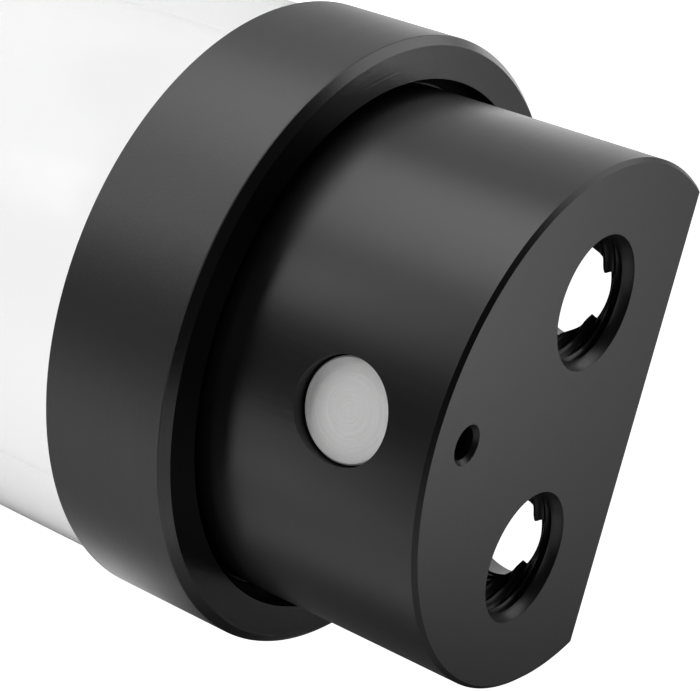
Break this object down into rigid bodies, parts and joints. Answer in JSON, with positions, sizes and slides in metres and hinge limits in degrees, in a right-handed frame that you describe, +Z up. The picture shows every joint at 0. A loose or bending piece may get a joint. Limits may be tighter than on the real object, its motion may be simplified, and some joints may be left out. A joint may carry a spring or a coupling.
{
  "type": "water cooling reservoir",
  "caption": "Clear round coolant tank closed at both ends by flatted port blocks, each clamped by a smooth screwed collar.",
  "frame": {"origin": "centre of the lower end face, on the tube's axis", "axes": "+Z up along the tube; +Y the side of both blocks' flats; -Y the side of the round badge"},
  "size_m": [0.0624, 0.0624, 0.2122],
  "materials": {
    "acetal": "satin black machined acetal",
    "acrylic": "clear polished acrylic",
    "rubber": "black seal rubber",
    "washer": "black low-friction plastic",
    "badge_metal": "pale satin metal",
    "pad": "adhesive foam",
    "plug_metal": "black plated brass"
  },
  "bodies": {
    "base": {"bottom_head": "acetal", "bottom_outer_seal": "rubber", "bottom_inner_seal": "rubber"},
    "vessel": {"tube": "acrylic"},
    "cap": {"top_head": "acetal", "top_outer_seal": "rubber", "top_inner_seal": "rubber", "badge_disc": "badge_metal", "badge_pad": "pad"},
    "top_washer": {"top_slip_ring": "washer"},
    "top_nut": {"top_collar": "acetal"},
    "bottom_washer": {"bottom_slip_ring": "washer"},
    "bottom_nut": {"bottom_collar": "acetal"},
    "left_plug_ring": {"left_plug_seal": "rubber"},
    "left_plug_body": {"left_plug": "plug_metal"},
    "right_plug_ring": {"right_plug_seal": "rubber"},
    "right_plug_body": {"right_plug": "plug_metal"}
  },
  "joints": [
    {"name": "tube_lift", "type": "slide", "parent": "base", "child": "vessel", "axis": [0, 0, 1], "range_m": [0, 0.007]},
    {"name": "head_lift", "type": "slide", "parent": "vessel", "child": "cap", "axis": [0, 0, 1], "range_m": [0, 0.007]},
    {"name": "top_collar_travel", "type": "slide", "parent": "cap", "child": "top_washer", "axis": [0, 0, 1], "range_m": [0, 0.007]},
    {"name": "top_collar_turn", "type": "hinge", "parent": "top_washer", "child": "top_nut", "pos_m": [0, 0, 0.1812], "axis": [0, 0, 1], "range_deg": [0, 1260]},
    {"name": "bottom_collar_travel", "type": "slide", "parent": "base", "child": "bottom_washer", "axis": [0, 0, -1], "range_m": [0, 0.007]},
    {"name": "bottom_collar_turn", "type": "hinge", "parent": "bottom_washer", "child": "bottom_nut", "pos_m": [0, 0, 0.031], "axis": [0, 0, -1], "range_deg": [0, 1260]},
    {"name": "left_plug_travel", "type": "slide", "parent": "base", "child": "left_plug_ring", "axis": [0, 1, 0], "range_m": [0, 0.00535]},
    {"name": "left_plug_turn", "type": "hinge", "parent": "left_plug_ring", "child": "left_plug_body", "pos_m": [-0.01235, 0.011, 0.00845], "axis": [0, 1, 0], "range_deg": [0, 1440]},
    {"name": "right_plug_travel", "type": "slide", "parent": "base", "child": "right_plug_ring", "axis": [0, 1, 0], "range_m": [0, 0.00535]},
    {"name": "right_plug_turn", "type": "hinge", "parent": "right_plug_ring", "child": "right_plug_body", "pos_m": [0.01235, 0.011, 0.00845], "axis": [0, 1, 0], "range_deg": [0, 1440]}
  ],
  "couplings": [
    {"joint": "top_collar_turn", "follows": "top_collar_travel", "rad_per_m": 3141.6},
    {"joint": "bottom_collar_turn", "follows": "bottom_collar_travel", "rad_per_m": 3141.6},
    {"joint": "left_plug_turn", "follows": "left_plug_travel", "rad_per_m": 4699.5},
    {"joint": "right_plug_turn", "follows": "right_plug_travel", "rad_per_m": 4699.5}
  ]
}
